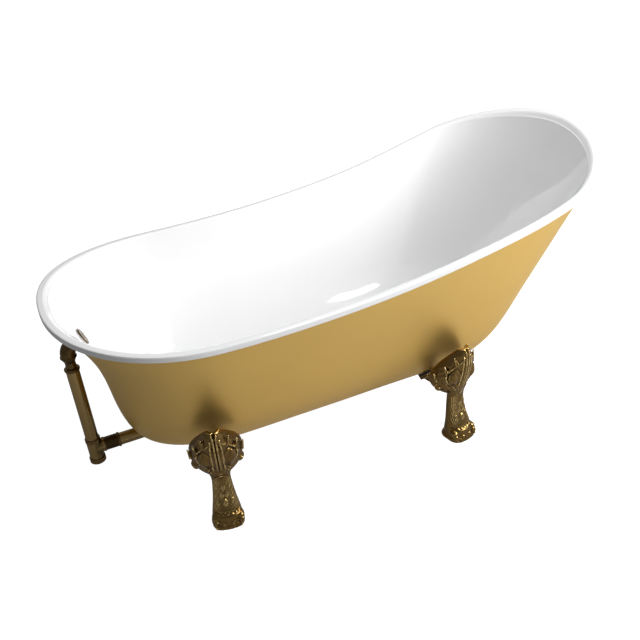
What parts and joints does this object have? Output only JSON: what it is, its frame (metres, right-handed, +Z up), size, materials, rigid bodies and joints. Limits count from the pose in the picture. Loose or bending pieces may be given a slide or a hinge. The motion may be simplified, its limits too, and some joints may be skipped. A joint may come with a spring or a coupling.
{
  "type": "clawfoot bathtub",
  "caption": "Free-standing slipper bath with one high end, a rolled white rim, a painted outer skirt, cast claw feet and an exposed waste and overflow at the foot end.",
  "frame": {"origin": "on the floor under the middle of the rim, midway between its two ends and its two sides", "axes": "+X to the high back end, -X to the foot end with the waste, +Z up; +Y to the far side"},
  "size_m": [1.7, 0.8138, 0.8143],
  "materials": {
    "enamel": "high gloss white",
    "gold_paint": "satin gold paint",
    "board": "sealed board",
    "foot_bronze": "dark bronze finish, rubbed bright on its high places",
    "old_brass": "antique brass",
    "steel": "zinc plated",
    "rubber": "matt black"
  },
  "bodies": {
    "tub": {"basin": "enamel", "outer_skirt": "gold_paint", "base_board": "board", "claw_foot_foot_end_near": "foot_bronze", "claw_foot_foot_end_far": "foot_bronze", "claw_foot_back_end_near": "foot_bronze", "claw_foot_back_end_far": "foot_bronze", "foot_pads": "rubber", "foot_blocks": "board", "foot_inserts": "steel", "foot_washers": "steel", "foot_bolts": "steel", "drain_flange": "old_brass", "drain_top_gasket": "rubber", "drain_under_gasket": "rubber", "plug_cartridge": "old_brass", "overflow_plate": "old_brass", "overflow_screw": "old_brass", "overflow_gasket": "rubber", "overflow_elbow": "old_brass", "overflow_slip_nut": "old_brass", "overflow_slip_washer": "rubber", "overflow_tube": "old_brass", "waste_tee": "old_brass", "tee_top_nut": "old_brass", "tee_top_washer": "rubber", "outlet_nut": "old_brass", "outlet_washer": "rubber", "branch_coupling": "old_brass", "waste_tube": "old_brass", "drain_shoe": "old_brass", "shoe_nut": "old_brass", "shoe_washer": "rubber"},
    "plug": {"plug_cap": "old_brass", "plug_seal": "rubber", "plug_stem": "steel"}
  },
  "joints": [
    {"name": "plug_lift", "type": "slide", "parent": "tub", "child": "plug", "axis": [0, 0, 1], "range_m": [0, 0.009]}
  ]
}
